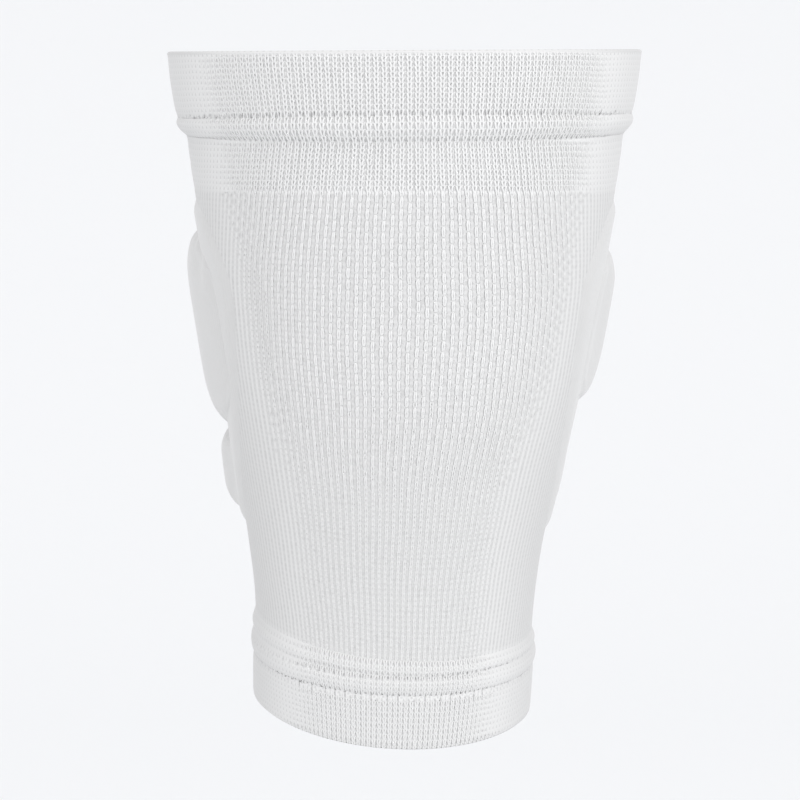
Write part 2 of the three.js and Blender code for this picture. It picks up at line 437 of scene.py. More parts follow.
def curve_through(columns, key, name, at):
    """A smooth curve through one column of a table, read by another column."""
    places, values = columns[key], columns[name]
    last = len(places) - 1
    high = np.clip(np.searchsorted(places, at, side="right"), 1, last)
    low = high - 1
    before = np.where(low > 0, low - 1, high)
    after = np.where(high < last, high + 1, low)
    half = (places[high] - places[low]) / 2
    pull_back = half / (places[low] - places[before])
    pull_on = half / (places[after] - places[high])
    share = (at - places[low]) / (places[high] - places[low])
    square, cube = share**2, share**3
    low_weight = (1 + pull_back) * cube - (1.5 + 2 * pull_back) * square + (pull_back - 0.5) * share + 1
    high_weight = (1.5 + pull_on) * square - (1 + pull_on) * cube + 0.5 * share
    return (
        pull_back * (2 * square - cube - share) * values[before]
        + low_weight * values[low]
        + high_weight * values[high]
        + pull_on * (cube - square) * values[after]
    )


def section(name, level):
    at = np.clip((TOP_RIM - level) / LENGTH, 0, 1)
    return curve_through(SECTIONS, "at", name, at)


def leg_radius(level):
    return SHIN_RADIUS + section("girth", level) * (THIGH_RADIUS - SHIN_RADIUS)


def lift_at(angle, level):
    """How much a sewn line is higher here than its level at the sides of the leg."""
    lean = HEM_LEAN * section("lean", level) * np.sin(angle)
    return lean + BACK_RISE * section("rise", level) * np.cos(angle) ** 2


def on_leg(angle, level, offset):
    """Points at an angle from the front, at a level, and this far out from the skin, in millimetres."""
    radius = leg_radius(level) + offset
    x = LEG_SHIFT * section("shift", level) + radius * np.sin(angle)
    return np.stack([x, -radius * np.cos(angle), level + lift_at(angle, level)], axis=-1)


print("thigh rim, mm:", on_leg(np.array([0.0, math.pi]), np.array([TOP_RIM] * 2), 0).round(1).tolist())

# %% [markdown]
# ## The face of the knit as one long line
#
# Cut through the wall of the sleeve, its face is one line: it starts inside the lower cuff, turns round the
# rim, climbs over the lower hem, runs up the sleeve, over the upper ridge and round the upper rim. Courses
# of knitting are counted along this line, so they pass over the rims and ridges as real courses do.
# Sewn lines pull the cloth in, so each one is a dip in the line.

# %% The line of the face
TOP_ROLL_OUTLINE = table(
    "along stand", (0, 0), (0.14, 0.5), (0.42, 0.95), (0.68, 0.9), (0.86, 0.45), (1, 0)
)
BOTTOM_ROLL_OUTLINE = table(
    "along stand", (0, 0), (0.12, 0.35), (0.27, 0.8), (0.45, 0.35), (0.62, 0.8), (0.82, 0.65), (1, 0)
)
UPPER_BAND_LINE, LOWER_BAND_LINE = 78.3, 69.5
DIPS = table(
    "level depth width",
    (TOP_SEAM, 0.05, 1.0),
    (TOP_ROLL_FOOT, 0.2, 1.6),
    (UPPER_BAND_LINE, 0.15, 1.2),
    (LOWER_BAND_LINE, 0.1, 1.0),
    (BOTTOM_ROLL_HEAD, 0.05, 2.4),
    (BOTTOM_SEAM, 0.25, 1.2),
)
INNER_LIP = 5  # how far the line runs down the inside of a cuff
SPARE_LIP = 3  # its last part, which has no loops
LINE_STEP = 0.25
TURN_POINTS, LIP_POINTS = 25, 17
OUTER_FACE = -1  # mm; the outside of the pad is further out than this, and the turns at its rims run deeper
DIRECTION_STEP = 0.35  # mm to each side, from which the direction of the line is taken


def face_offset(level):
    """How far the face stands out from the leg form: the two ridges, less the dips of the sewn lines."""
    stand = np.zeros_like(level)
    ridges = (
        (TOP_ROLL_FOOT, TOP_SEAM, TOP_ROLL_OUTLINE, TOP_ROLL_STAND),
        (BOTTOM_ROLL_HEAD, BOTTOM_SEAM, BOTTOM_ROLL_OUTLINE, BOTTOM_ROLL_STAND),
    )
    for start, end, outline, height in ridges:
        along = np.clip((level - start) / (end - start), 0, 1)
        stand = stand + height * curve_through(outline, "along", "stand", along)
    for middle, depth, width in zip(DIPS["level"], DIPS["depth"], DIPS["width"]):
        stand = stand - depth * np.exp(-(((level - middle) / width) ** 2))
    return stand


def face_line():
    """Offsets and levels from the lower cuff's inner lip to the upper cuff's inner lip."""
    turn = CUFF_WALL / 2
    sweep = np.linspace(0, math.pi, TURN_POINTS)
    lip = np.linspace(INNER_LIP, 0, LIP_POINTS)[:-1]
    levels = np.arange(BOTTOM_RIM + turn, TOP_RIM - turn, LINE_STEP)
    low_lip = np.stack([np.full_like(lip, -CUFF_WALL), BOTTOM_RIM + turn + lip])
    low_turn = np.stack([-turn - turn * np.cos(sweep), BOTTOM_RIM + turn - turn * np.sin(sweep)])
    outside = np.stack([face_offset(levels), levels])[:, 1:]
    top_turn = np.stack([turn * np.cos(sweep) - turn, TOP_RIM - turn + turn * np.sin(sweep)])
    top_lip = np.stack([np.full_like(lip, -CUFF_WALL), TOP_RIM - turn - lip[::-1]])
    return np.concatenate([low_lip, low_turn, outside, top_turn, top_lip], axis=1)


LINE_OFFSET, LINE_LEVEL = face_line()
LINE_REACH = np.concatenate([[0], np.cumsum(np.hypot(np.diff(LINE_OFFSET), np.diff(LINE_LEVEL)))])


def reach_of(level):
    """How far along the line a level of the outer face is."""
    between_lips = (LINE_REACH > INNER_LIP) & (LINE_REACH < LINE_REACH[-1] - INNER_LIP)
    outer = between_lips & (LINE_OFFSET > OUTER_FACE)
    return float(np.interp(level, LINE_LEVEL[outer], LINE_REACH[outer]))


def on_line(reach):
    """Offset, level and the outward direction at places along the line."""
    def at(places):
        return np.interp(places, LINE_REACH, LINE_OFFSET), np.interp(places, LINE_REACH, LINE_LEVEL)

    offset, level = at(reach)
    reach = np.clip(reach, DIRECTION_STEP, LINE_REACH[-1] - DIRECTION_STEP)
    ahead, behind = at(reach + DIRECTION_STEP), at(reach - DIRECTION_STEP)
    across, up = ahead[0] - behind[0], ahead[1] - behind[1]
    long = np.hypot(across, up)
    return offset, level, up / long, -across / long


print("line of the face, mm:", round(LINE_REACH[-1], 1))

# %% [markdown]
# ## Wales and courses
#
# A wale is an upright row of loops and a course is a level one. The tube has the same number of wales
# everywhere. Worn, it is stretched most across the hollow of the knee, so the wales stand further apart
# there than at the front, where the pad holds them. A chart of knitting is flat: wales across, courses up
# and height in millimetres. The function laid_on_leg bends any such chart round the leg.

# %% The chart of the knit
WALES = 190
WALE_PLACES = np.arange(WALES) - WALES // 2 + 0.5
STRETCH = table(
    "level back",
    (-115, 1.05), (-106, 1.08), (-70, 1.18), (-30, 1.24), (3, 1.32),
    (36, 1.27), (61, 1.12), (76, 1.03), (90, 0.97), (115, 0.96),
)
ZONES = {  # start and end levels, and courses between them; the cuffs run on round their rims
    "bottom_cuff": (None, BOTTOM_SEAM, 13),
    "bottom_roll": (BOTTOM_SEAM, BOTTOM_ROLL_HEAD, 7),
    "body": (BOTTOM_ROLL_HEAD, LOWER_BAND_LINE, 86),
    "lower_band": (LOWER_BAND_LINE, UPPER_BAND_LINE, 5),
    "upper_band": (UPPER_BAND_LINE, TOP_ROLL_FOOT, 4),
    "top_roll": (TOP_ROLL_FOOT, TOP_SEAM, 4),
    "top_cuff": (TOP_SEAM, None, 15),
}


def zone_reach(zone):
    """Where a zone starts along the face line, and the height of one of its courses."""
    start, end, courses = ZONES[zone]
    low = SPARE_LIP if start is None else reach_of(start)
    high = LINE_REACH[-1] - SPARE_LIP if end is None else reach_of(end)
    return low, (high - low) / courses


def back_stretch(level):
    return curve_through(STRETCH, "level", "back", np.clip(level, BOTTOM_RIM, TOP_RIM))


def wale_angle(wale, level):
    """A wale's angle from the front. Wale 0 is at the middle of the back, and they count to the right."""
    share = wale / WALES
    stretch = back_stretch(level)
    return math.pi + 2 * math.pi * (stretch * share + 4 * (1 - stretch) * share**3)


def wale_width(wale, level):
    """The space that one wale takes here, in millimetres."""
    stretch = back_stretch(level)
    turn = stretch + 12 * (1 - stretch) * (wale / WALES) ** 2
    return 2 * math.pi * leg_radius(level) * turn / WALES


def sway(wale, course):
    """Slow unevenness of hand-worn knit, as shares of a wale and of a course."""
    slow_across = 0.05 * np.sin(0.31 * course + 0.9 * np.sin(0.23 * wale))
    slow_up = 0.05 * np.sin(0.37 * wale + 0.6 * np.sin(0.19 * course))
    quick_across = 0.02 * np.sin(0.83 * course + 1.7 * wale)
    quick_up = 0.03 * np.sin(1.13 * wale + 0.7 * course)
    return slow_across + quick_across, slow_up + quick_up


for zone in ZONES:
    print(zone, "course, mm:", round(zone_reach(zone)[1], 2))

# %% [markdown]
# ## Dents of the sewing needle
#
# Where a seam is sewn, the needle parts the loops and the thread pulls them in. Each dent is a small pit in
# a row: one row along the upper seam, one along the lower seam, and one of plain needle holes round the hem.
# A dent pushes whatever knitting is near it inwards, so the loops themselves shape it. The sewing isn't quite
# even, so the spaces sway a little.

# %% Needle dents
NEEDLE_ROWS = {  # level, lean and rise of the row, space between dents, and their depth and radius, in mm
    "top_seam": (94.0, -0.75, 2.1, 3.9, 0.3, 0.6),
    "hem_holes": (-91.0, 1.2, -0.5, 3.1, 0.3, 0.7),
    "bottom_seam": (-98.3, 2.2, 0.0, 3.1, 0.4, 0.7),
}
# the holes of each row are painted shade, this dark
SEWN = {  # which row marks the knit of a zone, and how dark its holes are
    "bottom_cuff": ("bottom_seam", 0.4),
    "bottom_roll": ("hem_holes", 0.32),
    "top_roll": ("top_seam", 0.35),
    "top_cuff": ("top_seam", 0.35),
}
USUAL_ROW = ("top_seam", 0.0)  # elsewhere no hole is marked
PARTED = 0.4  # how far a needle moves the yarn beside it, in millimetres
NEEDLE_POINT = 0.15  # mm, nearer than which the yarn isn't parted further


def sewn_row(zone):
    return SEWN.get(zone, USUAL_ROW)


def needle_place(row, angle, level):
    """Spaces along a sewn row and away from it. Its dents are at the whole numbers."""
    row_level, lean, rise, space = NEEDLE_ROWS[row][:4]
    count = round(2 * math.pi * float(leg_radius(np.array(row_level))) / space)
    along = angle / (2 * math.pi) * count
    above = level + lift_at(angle, level) - row_level - lean * np.sin(angle) - rise * np.cos(angle) ** 2
    return along + 0.1 * np.sin(0.9 * along), above / space + 0.06 * np.sin(1.7 * along)


def needled(angle, level):
    """Angles and levels with the yarn parted round each needle dent, and how deep each dent is here."""
    depth, aside, along = (np.zeros_like(angle) for _ in range(3))
    for row, (_, _, _, space, deepest, size) in NEEDLE_ROWS.items():
        place, above = needle_place(row, angle, level)
        beside, above = (place - np.round(place)) * space, above * space
        away = np.hypot(beside, above)
        push = PARTED * deepest * np.exp(-((away / (2 * size)) ** 2)) / np.maximum(away, NEEDLE_POINT)
        depth = depth + deepest * np.exp(-((away / size) ** 2))
        aside, along = aside + push * beside, along + push * above
    return angle + aside / leg_radius(level), level + along, depth


print("needle rows:", list(NEEDLE_ROWS))

# %% [markdown]
# ## How open the knit is
#
# The knit is stretched open at the upper back. To the sides and down the calf it lies closer, and on the rim
# of the upper cuff it is pulled smooth. One number from 0 to 1 says this for every place. It sets the height
# of the loops, and the finishes paint shade with it: where it is lower, yarn and ground are painted darker.

# %% Openness
RIM_SMOOTH = 1.1  # mm, how far down the rim is pulled smooth
RIB_FADE = 1.5  # mm over which the rib's hollows begin and end
OPEN_BACK, CLOSED_SIDE = 25, 75  # degrees from the middle of the back
OPEN_ABOVE, CLOSED_BELOW = 25, -35  # levels in mm
# these shares also set how much darker yarn and ground are painted
LOST_ASIDE, LOST_BELOW, LOST_IN_RIB, LOST_AT_RIM = 0.61, 0.27, 0.12, 0.5  # shares of the openness


def at_rim(level):
    """1 at the turned rim of the upper cuff, where the cloth is smooth, and 0 away from it."""
    return np.exp(-((np.maximum(TOP_RIM - level, 0) / RIM_SMOOTH) ** 4))


def smooth_share(value, low, high):
    """0 at low and 1 at high, with a smooth change between."""
    share = np.clip((value - low) / (high - low), 0, 1)
    return share * share * (3 - 2 * share)


def in_rib(level):
    """1 in the body of the sleeve, whose wales have hollows between them, and 0 where the knit is plain."""
    below_bands = smooth_share(LOWER_BAND_LINE - level, 0, RIB_FADE)
    return below_bands * smooth_share(level - BOTTOM_ROLL_HEAD, 0, RIB_FADE)


def openness_and_painted_light(angle, level):
    """1 where the knit is stretched open, at the upper back, and less where it lies closed. The finishes
    paint shade where it is less.
    """
    aside = smooth_share(np.abs(np.degrees(angle) - 180), OPEN_BACK, CLOSED_SIDE)
    below = smooth_share(level, OPEN_ABOVE, CLOSED_BELOW)
    worn = (1 - LOST_ASIDE * aside) * (1 - LOST_BELOW * below)
    return worn * (1 - LOST_IN_RIB * in_rib(level)) * (1 - LOST_AT_RIM * at_rim(level))


SHOWN_ANGLES = np.radians([180.0, 225.0, 270.0])
print("openness at the knee's level:", openness_and_painted_light(SHOWN_ANGLES, np.zeros(3)).round(2).tolist())

# %% Bend a chart round the leg
YARN_MIDDLE = -0.3  # mm, the usual height of a core line
LOOP_WALE, LOOP_COURSE = 2.2, 1.78  # mm, the space that a loop is drawn for
RIM_SINK = 0.12  # mm, how far the yarn sinks at the rim


def laid_on_leg(chart, zone, wale_of, core):
    """Chart points, as wale, course and height, bent round the leg.

    Each point belongs to the loop at wale_of, and is beside a core line of its yarn. The core line takes the
    stretch of the cloth, and the yarn keeps its thickness.
    """
    wale, course, height = chart.T
    start, pitch = zone_reach(zone)
    across, up = sway(wale_of, course)
    offset, level, out_offset, out_level = on_line(start + (course + up) * pitch)
    beside = (wale - wale_of - core) * LOOP_WALE / wale_width(wale_of, level)
    angle = wale_angle(wale_of + core + beside + across, level)
    needle = needle_place(sewn_row(zone)[0], angle, level)
    angle, level, depth = needled(angle, level)
    spread_and_painted_light = openness_and_painted_light(angle, level)
    height = YARN_MIDDLE + (height - YARN_MIDDLE) * spread_and_painted_light - depth - RIM_SINK * at_rim(level)
    return on_leg(angle, level + out_level * height, offset + out_offset * height), needle, spread_and_painted_light


print("a loop is drawn for, mm:", (LOOP_WALE, LOOP_COURSE))

# %% [markdown]
# ## Small builders
#
# The next cells make a mesh from arrays, turn it to face outwards, give it the charts and values that its
# finish reads, and hand it to the frame. Every piece of the pad goes through them.

# %% Mesh builders
def new_piece(name, points, faces, finish):
    """An object from points in millimetres, smooth, facing out, with its place in its mesh."""
    mesh = bpy.data.meshes.new(name)
    mesh.from_pydata((np.asarray(points) * MM).tolist(), [], np.asarray(faces).tolist())
    mesh.polygons.foreach_set("use_smooth", [True] * len(mesh.polygons))
    mesh.materials.append(finish)
    face_outwards(mesh)
    return add_object(name, mesh)


def mesh_points(mesh):
    points = np.empty(len(mesh.vertices) * 3, np.float32)
    mesh.vertices.foreach_get("co", points)
    return points.reshape(-1, 3).astype(float)


def enclosed_volume(mesh):
    """The volume inside a closed mesh, which is negative if its faces point inwards."""
    mesh.calc_loop_triangles()
    corners = np.empty(len(mesh.loop_triangles) * 3, np.int32)
    mesh.loop_triangles.foreach_get("vertices", corners)
    a, b, c = mesh_points(mesh)[corners.reshape(-1, 3)].transpose(1, 0, 2)
    return float((a * np.cross(b, c)).sum() / 6)


def face_outwards(mesh):
    if enclosed_volume(mesh) < 0:
        mesh.flip_normals()


def corner_chart(mesh, name, values):
    """A UV map from one pair of values for each corner of each face."""
    layer = mesh.uv_layers.new(name=name)
    layer.data.foreach_set("uv", np.asarray(values, np.float32).ravel())


def corner_points(mesh):
    """Which point each corner of each face uses."""
    corners = np.empty(len(mesh.loops), np.int32)
    mesh.loops.foreach_get("vertex_index", corners)
    return corners


def point_attribute(mesh, name, values):
    layer = mesh.attributes.new(name, "FLOAT", "POINT")
    layer.data.foreach_set("value", np.broadcast_to(values, len(mesh.vertices)).astype(np.float32))


def mark_knit(mesh, zone, needle, spread_and_painted_light):
    """The chart needle, how dark the painted shade of its row's holes is, and how open the knit is, which
    sets the painted shade of yarn and ground.
    """
    corners = corner_points(mesh)
    corner_chart(mesh, "needle", np.stack([value.ravel()[corners] for value in needle], axis=1))
    point_attribute(mesh, "sewn", sewn_row(zone)[1])
    # how much painted shade falls on yarn and ground here
    point_attribute(mesh, "open", spread_and_painted_light.ravel())


print("marks on the knit: needle, sewn and open")

# %% Hand a piece to the frame
def hand_over(piece, replaced):
    """The piece moves with the one body and stands for these solids."""
    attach(piece, "root")
    if replaced:
        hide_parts(*replaced)
    triangles = sum(len(face.vertices) - 2 for face in piece.data.polygons)
    size = np.ptp(mesh_points(piece.data), axis=0) / MM
    print(f"{piece.name}: {triangles} triangles, {size.round(1).tolist()} mm")
    return piece


print("every piece rides on the one body")

# %% [markdown]
# ## One loop of yarn
#
# On the face of plain knit only the two legs of each loop show. They rise side by side out of the loop
# below, bow apart and close again under the loop above, like a pair of brackets. Between the legs is a small
# dark hole, and between two wales a larger one. Each leg is a half-round spindle of three sides with three
# rings and two points, 12 faces, because there are thousands of them. Where the knit is stretched open at
# the back, a wale is narrow, and some of its loops are held over two courses and look long.

# %% Loops of yarn
SPINDLE_SIDES = 3
FLATNESS = 0.36  # the yarn lies a little flattened
PLAIN_YARN, RIB_YARN, LONG_YARN = 0.48, 0.41, 0.44  # mm, half the width of the yarn in each kind of loop
PLAIN_LEG = table(  # wale and course as shares of the loop's space, height in mm, for the right leg
    "wale course height",
    (0.07, -0.92, -0.42),
    (0.115, -0.64, -0.27),
    (0.195, -0.14, -0.27),
    (0.28, 0.30, -0.30),
    (0.30, 0.74, -0.44),
)
RIB_LEG = table(
    "wale course height",
    (0.04, -0.80, -0.44),
    (0.10, -0.44, -0.28),
    (0.165, 0.0, -0.20),
    (0.12, 0.42, -0.28),
    (0.05, 0.76, -0.46),
)
LONG_LEG = table(
    "wale course height",
    (0.03, -1.28, -0.40),
    (0.09, -0.78, -0.26),
    (0.13, 0.0, -0.18),
    (0.09, 0.78, -0.26),
    (0.03, 1.28, -0.40),
)


def leg_points(line, radius):
    """Points of one leg: its lower tip, three half-round rings along its line, and its upper tip."""
    points = [line[0]]
    for ring in (1, 2, 3):
        along = line[ring + 1] - line[ring - 1]
        beside = np.cross(along, (0, 0, 1))
        beside = beside / np.linalg.norm(beside)
        above = np.cross(beside, along / np.linalg.norm(along))
        for corner in range(SPINDLE_SIDES):
            turn = math.pi * corner / (SPINDLE_SIDES - 1)
            out = math.cos(turn) * beside + FLATNESS * math.sin(turn) * above
            points.append(line[ring] + radius * out)
    return points + [line[4]]


def leg_faces(start):
    """Faces of one leg whose points begin at start, and each corner's place along it and round it."""
    faces, strand = [], []
    for ring, corner in itertools.product(range(4), range(SPINDLE_SIDES)):
        ahead = (corner + 1) % SPINDLE_SIDES
        low = start + 1 + (ring - 1) * SPINDLE_SIDES
        high = low + SPINDLE_SIDES
        lower = [(low + corner, ring, corner), (low + ahead, ring, corner + 1)]
        upper = [(high + ahead, ring + 1, corner + 1), (high + corner, ring + 1, corner)]
        if ring == 0:
            lower = [(start, 0, corner + 0.5)]
        if ring == 3:
            upper = [(high, 4, corner + 0.5)]
        faces.append([point for point, _, _ in lower + upper])
        strand += [(step / 4, turn / SPINDLE_SIDES) for _, step, turn in lower + upper]
    return faces, strand


def loop_shape(name, leg, radius):
    """Both legs of a loop in millimetres, with the chart strand for the yarn's twist, and each leg's core."""
    right = np.stack([leg["wale"] * LOOP_WALE, leg["course"] * LOOP_COURSE, leg["height"]], axis=1)
    points, faces, strand, core = [], [], [], []
    for line in (right, right * (-1, 1, 1)):
        new_faces, new_strand = leg_faces(len(points))
        points += leg_points(line, radius)
        faces += new_faces
        strand += new_strand
        core += [line[0][0], *np.repeat(line[1:4, 0], SPINDLE_SIDES), line[4][0]]
    mesh = bpy.data.meshes.new(name)
    mesh.from_pydata(np.array(points).tolist(), [], faces)
    mesh.polygons.foreach_set("use_smooth", [True] * len(faces))
    corner_chart(mesh, "strand", strand)
    point_attribute(mesh, "core", np.array(core) / LOOP_WALE)
    return bpy.data.objects.new(name, mesh)


plain_loop = loop_shape("plain_loop", PLAIN_LEG, PLAIN_YARN)
rib_loop = loop_shape("rib_loop", RIB_LEG, RIB_YARN)
long_loop = loop_shape("long_loop", LONG_LEG, LONG_YARN)
print("faces of a loop:", len(plain_loop.data.polygons))

# %% [markdown]
# ## Knitting by Geometry Nodes
#
# The chart of a zone is a cloud of points, one for each loop, and Geometry Nodes set a loop on each. A loop
# is drawn in millimetres, and on the chart a wale and a course are one unit each, so the tree's two sizes
# bring it to that scale. The tree ends by making the loops real and giving them their yarn. The flat knitting
# is then turned into a plain mesh and bent round the leg, and the sway of the cloth comes with the bend.

# %% The knitting tree
TREE_INPUTS = {
    "Geometry": "NodeSocketGeometry",
    "Loop": "NodeSocketObject",
    "Wale width": "NodeSocketFloat",
    "Course height": "NodeSocketFloat",
    "Yarn": "NodeSocketMaterial",
}


def knitting_tree():
    """Sets a loop on each point of a cloud, makes the loops real and gives them their yarn."""
    tree = bpy.data.node_groups.new("knitting", "GeometryNodeTree")
    for name, kind in TREE_INPUTS.items():
        tree.interface.new_socket(name, in_out="INPUT", socket_type=kind)
    tree.interface.new_socket("Geometry", in_out="OUTPUT", socket_type="NodeSocketGeometry")
    given = tree.nodes.new("NodeGroupInput")
    cloud, loop, width, height, finish = (Wire(given, name) for name in TREE_INPUTS)
    shape = Wire(add_node(tree, "GeometryNodeObjectInfo", None, {"Object": loop}), "Geometry")
    scale = Wire(add_node(tree, "ShaderNodeCombineXYZ", None, {"X": 1 / width, "Y": 1 / height, "Z": 1}))
    on_cloud = {"Points": cloud, "Instance": shape, "Scale": scale}
    placed = Wire(add_node(tree, "GeometryNodeInstanceOnPoints", None, on_cloud))
    real = Wire(add_node(tree, "GeometryNodeRealizeInstances", None, {"Geometry": placed}))
    dress = {"Geometry": real, "Material": finish}
    dressed = Wire(add_node(tree, "GeometryNodeSetMaterial", None, dress))
    result = tree.nodes.new("NodeGroupOutput")
    tree.links.new(dressed.socket, result.inputs["Geometry"])
    return tree


knitting = knitting_tree()
INPUT_IDS = {item.name: item.identifier for item in knitting.interface.items_tree if item.in_out == "INPUT"}
print("inputs of the tree:", [name for name in INPUT_IDS if name != "Geometry"])

# %% Knit a flat chart
def evaluated_mesh(piece):
    """A new mesh of the shape that a piece has after its modifiers."""
    evaluated = piece.evaluated_get(bpy.context.evaluated_depsgraph_get())
    return bpy.data.meshes.new_from_object(evaluated)


def knit_flat(name, places, loop, seed):
    """A plain mesh of loops at the places of a flat chart, with each loop's wale and tone on its points."""
    cloud = bpy.data.meshes.new(name)
    cloud.from_pydata([(x, y, 0) for x, y in places], [], [])
    point_attribute(cloud, "wale", places[:, 0])
    point_attribute(cloud, "tone", np.random.default_rng(seed).random(len(places)))
    holder = add_object(name, cloud)
    modifier = holder.modifiers.new("knitting", "NODES")
    modifier.node_group = knitting
    given = {"Loop": loop, "Wale width": LOOP_WALE, "Course height": LOOP_COURSE, "Yarn": yarn}
    for input_name, value in given.items():
        modifier[INPUT_IDS[input_name]] = value
    mesh = evaluated_mesh(holder)
    bpy.data.objects.remove(holder)
    mesh.name = name
    return mesh


def point_values(mesh, name):
    values = np.empty(len(mesh.vertices), np.float32)
    mesh.attributes[name].data.foreach_get("value", values)
    return values.astype(float)


def set_points(mesh, points):
    mesh.vertices.foreach_set("co", (points * MM).astype(np.float32).ravel())
    mesh.update()


def laid_loops(name, zone, places, loop, seed):
    """Loops knitted at these places of a zone and bent round the leg."""
    mesh = knit_flat(name, places, loop, seed)
    wale_of, core = point_values(mesh, "wale"), point_values(mesh, "core")
    points, needle, spread_and_painted_light = laid_on_leg(mesh_points(mesh), zone, wale_of, core)
    set_points(mesh, points)
    face_outwards(mesh)
    mark_knit(mesh, zone, needle, spread_and_painted_light)
    return mesh


print("each loop takes its wale, its tone and its core line along")

# %% Make a knitted piece
def joined(name, meshes):
    """One object from several meshes that share their finish."""
    parts = [add_object(mesh.name, mesh) for mesh in meshes]
    if len(parts) > 1:
        with bpy.context.temp_override(active_object=parts[0], selected_editable_objects=parts):
            bpy.ops.object.join()
    parts[0].name = name
    parts[0].data.name = name
    return parts[0]


def knitted_piece(name, parts):
    """A piece from parts of the knit: each has its zone, its places, its loop and its seed."""
    return hand_over(joined(name, [laid_loops(name, *part) for part in parts]), [])


def all_round(zone):
    """The places of the loops of a zone that goes all the way round."""
    courses = np.arange(ZONES[zone][2]) + 0.5
    return np.stack(np.meshgrid(WALE_PLACES, courses), axis=-1).reshape(-1, 2)


print("loops in one course:", len(WALE_PLACES))

# %% [markdown]
# ## The cuffs and the ridges
#
# Each cuff is two layers of plain knit, turned in at the rim. Its loops are open and even, and they run over
# the rim and a little way down the inside. Under the upper cuff the cloth is gathered into a ridge of a few
# large loops. The lower hem is a wider ridge with a row of needle holes along its middle.

# %% Knit the cuffs and the ridges
ROUND_PIECES = (  # name, zones, slot and seed
    ("top_cuff_loops", ["top_cuff"], "cuff_knit", 11),
    ("top_roll_loops", ["top_roll"], "hem_knit", 21),
    ("band_loops", ["upper_band", "lower_band"], "sleeve_knit", 31),
    ("bottom_roll_loops", ["bottom_roll"], "hem_knit", 41),
    ("bottom_cuff_loops", ["bottom_cuff"], "cuff_knit", 51),
)
for name, zones, slot, seed in ROUND_PIECES:
    parts = [(zone, all_round(zone), plain_loop, seed + step) for step, zone in enumerate(zones)]
    knitted_piece(name, parts)

# %% [markdown]
# ## The body of the sleeve
#
# At the back of the knee the sleeve is an open rib: narrow wales with wide hollows between them. Near its
# top the loops are held over two courses, and further down they are single again. Beside the rib every loop
# is single, and the knit lies closer. Under the padded panel no loop can be seen, so none is made there,
# only a few under its edge.

# %% Where the panel and the open rib end
PANEL_WALL, PANEL_DROP, PANEL_LENGTH = 1, 18.9, 125  # mm
PANEL_WRAP = math.radians(126)  # to each side of the front
PANEL_TOP = TOP_ROLL_FOOT - PANEL_DROP
PANEL_OUTLINE = table(
    "round head foot",
    (0.0, 0.0, 1.0),
    (0.6, 0.0, 1.0),
    (0.78, 0.01, 0.95),
    (0.85, 0.03, 0.88),
    (0.9, 0.06, 0.75),
    (0.95, 0.13, 0.55),
    (0.98, 0.18, 0.41),
    (1.0, 0.23, 0.31),
)
RIB_EDGES = table(  # how far the open rib reaches from the middle of the back, in degrees, to each side
    "level left right",
    (-84, 60, 60),
    (-27, 52, 52),
    (14, 42, 53),
    (36, 40, 54),
    (55, 50, 64),
    (70, 60, 66),
)
LONG_ABOVE, LONG_BELOW = 14, -34  # all loops of the rib are long above one level, and none below the other
TUCKED_EDGE = 7  # mm of knit that is made under the panel's edge
SHOWN_LEFT, SHOWN_RIGHT = 0.985, 0.955  # shares of the panel's reach that are not under the knit
REACH_STEPS = 201


def panel_reach(level):
    """The angle from the front at which the panel ends, or 0 above and below it."""
    rounds = np.linspace(0, 1, REACH_STEPS)
    head = np.maximum.accumulate(curve_through(PANEL_OUTLINE, "round", "head", rounds))
    foot = np.minimum.accumulate(curve_through(PANEL_OUTLINE, "round", "foot", rounds))
    down = (PANEL_TOP - level) / PANEL_LENGTH
    reach = np.minimum(np.interp(down, head, rounds), np.interp(-down, -foot, rounds))
    return np.where((down < 0) | (down > 1), 0.0, reach * PANEL_WRAP)


def shown_reach(angle, level):
    """The panel's last few millimetres on each side lie under the knit, more of them at -X."""
    return panel_reach(level) * np.where(angle < 0, SHOWN_RIGHT, SHOWN_LEFT)


print("panel's reach at its middle, degrees:", round(math.degrees(panel_reach(np.array(0.0))), 1))

# %% Places of the body's loops
BODY_SEED = 7


def is_hidden(angle, level):
    """Whether a loop is too far under the panel to be seen."""
    from_front = (angle + math.pi) % (2 * math.pi) - math.pi
    tucked = abs(from_front) + TUCKED_EDGE / float(leg_radius(level))
    return tucked < float(shown_reach(from_front, level))


def is_in_open_rib(angle, level):
    from_back = math.degrees(angle - math.pi)
    side = "right" if from_back > 0 else "left"
    return abs(from_back) < np.interp(level, RIB_EDGES["level"], RIB_EDGES[side])


def body_places():
    """The places of side, rib and long loops, wale by wale and from the top course down."""
    start, pitch = zone_reach("body")
    courses = ZONES["body"][2]
    steps = np.random.default_rng(BODY_SEED)
    places = {"side": [], "rib": [], "long": []}
    for wale in WALE_PLACES:
        course = courses - 1 - int(wale - 0.5) % 2  # long loops of neighbours are a course apart
        if course == courses - 2:
            places["side"].append((wale, courses - 0.5))
        while course >= 0:
            _, level, _, _ = on_line(np.array(start + (course + 0.5) * pitch))
            angle = float(wale_angle(wale, level))
            in_open_rib = is_in_open_rib(angle, level)
            long_share = (level - LONG_BELOW) / (LONG_ABOVE - LONG_BELOW)
            is_long = in_open_rib and course > 0 and steps.random() < long_share
            kind = "long" if is_long else "rib" if in_open_rib else "side"
            if not is_hidden(angle, level):
                places[kind].append((wale, course if is_long else course + 0.5))
            course -= 2 if is_long else 1
    return {kind: np.array(found) for kind, found in places.items()}


body = body_places()
print("loops in the body:", {kind: len(found) for kind, found in body.items()})

